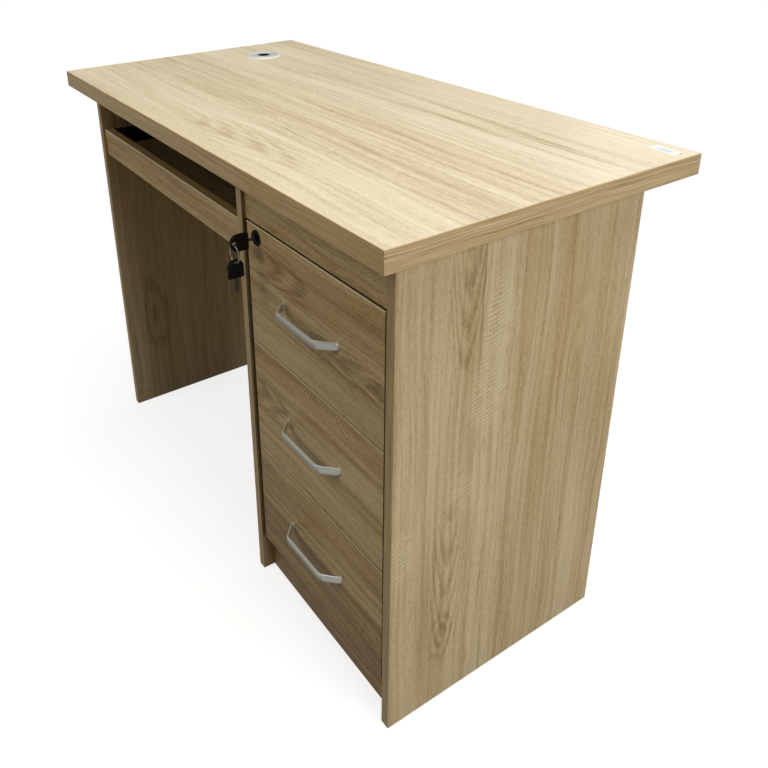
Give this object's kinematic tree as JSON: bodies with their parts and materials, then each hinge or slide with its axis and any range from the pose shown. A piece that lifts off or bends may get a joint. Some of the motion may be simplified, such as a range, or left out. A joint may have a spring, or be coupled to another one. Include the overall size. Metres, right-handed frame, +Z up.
{
  "type": "computer desk",
  "caption": "Oak-grain computer desk with a sliding keyboard tray, a pedestal of drawers on the right, bow handles, a cam lock with hanging keys and a cable grommet.",
  "frame": {"origin": "on the floor under the middle of the desk top", "axes": "+Z up, the front with the drawers and tray faces -Y, +X to the seated person's right"},
  "size_m": [1, 0.504, 0.752],
  "materials": {
    "top_laminate": "satin oak-grain melamine",
    "panel_laminate": "satin oak-grain melamine",
    "front_laminate": "satin oak-grain melamine",
    "edge_band": "satin oak-grain edging",
    "box_board": "matt white melamine",
    "hardboard": "matt",
    "beech": "raw",
    "zinc_steel": "zinc plated",
    "black_steel": "black coated",
    "satin_steel": "satin",
    "cast_zinc": "cast",
    "lock_black": "semi-gloss black",
    "key_steel": "bright",
    "bow_black": "moulded",
    "grommet_grey": "satin silver grey",
    "grommet_cap_grey": "satin silver grey"
  },
  "bodies": {
    "carcass": {"desk_top": "top_laminate", "top_edge_bands": "edge_band", "panel_edge_bands": "edge_band", "left_panel": "panel_laminate", "middle_panel": "panel_laminate", "right_panel": "panel_laminate", "modesty_panel": "panel_laminate", "pedestal_back": "panel_laminate", "top_rail": "front_laminate", "plinth": "front_laminate", "pedestal_base": "box_board", "cam_fittings": "cast_zinc", "cam_bolts": "zinc_steel", "wood_dowels": "beech", "grommet_liner": "grommet_grey", "drawer_slide_outers": "zinc_steel", "tray_slide_outers": "black_steel"},
    "grommet_cap": {"grommet_cap": "grommet_cap_grey"},
    "tray": {"tray_front": "front_laminate", "tray_board": "panel_laminate", "tray_brackets": "black_steel", "tray_screws": "zinc_steel", "tray_slide_inners": "black_steel"},
    "tray_runners": {"tray_slide_middles": "black_steel"},
    "drawer_1": {"drawer_1_front": "front_laminate", "drawer_1_left_side": "box_board", "drawer_1_right_side": "box_board", "drawer_1_back": "box_board", "drawer_1_bottom": "hardboard", "drawer_1_handle": "satin_steel", "drawer_1_handle_screws": "zinc_steel", "drawer_1_slide_inners": "zinc_steel", "lock_housing": "lock_black", "lock_nut": "zinc_steel"},
    "drawer_1_runners": {"drawer_1_slide_middles": "zinc_steel"},
    "drawer_2": {"drawer_2_front": "front_laminate", "drawer_2_left_side": "box_board", "drawer_2_right_side": "box_board", "drawer_2_back": "box_board", "drawer_2_bottom": "hardboard", "drawer_2_handle": "satin_steel", "drawer_2_handle_screws": "zinc_steel", "drawer_2_slide_inners": "zinc_steel"},
    "drawer_2_runners": {"drawer_2_slide_middles": "zinc_steel"},
    "drawer_3": {"drawer_3_front": "front_laminate", "drawer_3_left_side": "box_board", "drawer_3_right_side": "box_board", "drawer_3_back": "box_board", "drawer_3_bottom": "hardboard", "drawer_3_handle": "satin_steel", "drawer_3_handle_screws": "zinc_steel", "drawer_3_slide_inners": "zinc_steel"},
    "drawer_3_runners": {"drawer_3_slide_middles": "zinc_steel"},
    "lock_core": {"lock_plug": "key_steel", "lock_cam": "zinc_steel", "key_blade": "key_steel", "key_bow": "bow_black"},
    "key_ring": {"key_ring": "key_steel"},
    "spare_key": {"spare_key_blade": "key_steel", "spare_key_bow": "bow_black"}
  },
  "joints": [
    {"name": "grommet_cap_turn", "type": "hinge", "parent": "carcass", "child": "grommet_cap", "pos_m": [-0.387, 0.117, 0.749], "axis": [0, 0, 1], "continuous": true},
    {"name": "tray_slide", "type": "slide", "parent": "carcass", "child": "tray", "axis": [0, -1, 0], "range_m": [0, 0.28]},
    {"name": "tray_runner_slide", "type": "slide", "parent": "carcass", "child": "tray_runners", "axis": [0, -1, 0], "range_m": [0, 0.14]},
    {"name": "drawer_1_slide", "type": "slide", "parent": "carcass", "child": "drawer_1", "axis": [0, -1, 0], "range_m": [0, 0.34]},
    {"name": "drawer_1_runner_slide", "type": "slide", "parent": "carcass", "child": "drawer_1_runners", "axis": [0, -1, 0], "range_m": [0, 0.17]},
    {"name": "drawer_2_slide", "type": "slide", "parent": "carcass", "child": "drawer_2", "axis": [0, -1, 0], "range_m": [0, 0.34]},
    {"name": "drawer_2_runner_slide", "type": "slide", "parent": "carcass", "child": "drawer_2_runners", "axis": [0, -1, 0], "range_m": [0, 0.17]},
    {"name": "drawer_3_slide", "type": "slide", "parent": "carcass", "child": "drawer_3", "axis": [0, -1, 0], "range_m": [0, 0.34]},
    {"name": "drawer_3_runner_slide", "type": "slide", "parent": "carcass", "child": "drawer_3_runners", "axis": [0, -1, 0], "range_m": [0, 0.17]},
    {"name": "lock_turn", "type": "hinge", "parent": "drawer_1", "child": "lock_core", "pos_m": [0.1555, -0.2099, 0.6275], "axis": [0, -1, 0], "range_deg": [0, 90]},
    {"name": "key_ring_swing", "type": "hinge", "parent": "lock_core", "child": "key_ring", "pos_m": [0.1555, -0.2415, 0.6275], "axis": [1, 0, 0], "range_deg": [-60, 12]},
    {"name": "spare_key_swing", "type": "hinge", "parent": "key_ring", "child": "spare_key", "pos_m": [0.1555, -0.2415, 0.6005], "axis": [1, 0, 0], "range_deg": [-35, 12]}
  ],
  "couplings": [
    {"joint": "tray_runner_slide", "follows": "tray_slide", "ratio": 0.5},
    {"joint": "drawer_1_runner_slide", "follows": "drawer_1_slide", "ratio": 0.5},
    {"joint": "drawer_2_runner_slide", "follows": "drawer_2_slide", "ratio": 0.5},
    {"joint": "drawer_3_runner_slide", "follows": "drawer_3_slide", "ratio": 0.5}
  ]
}
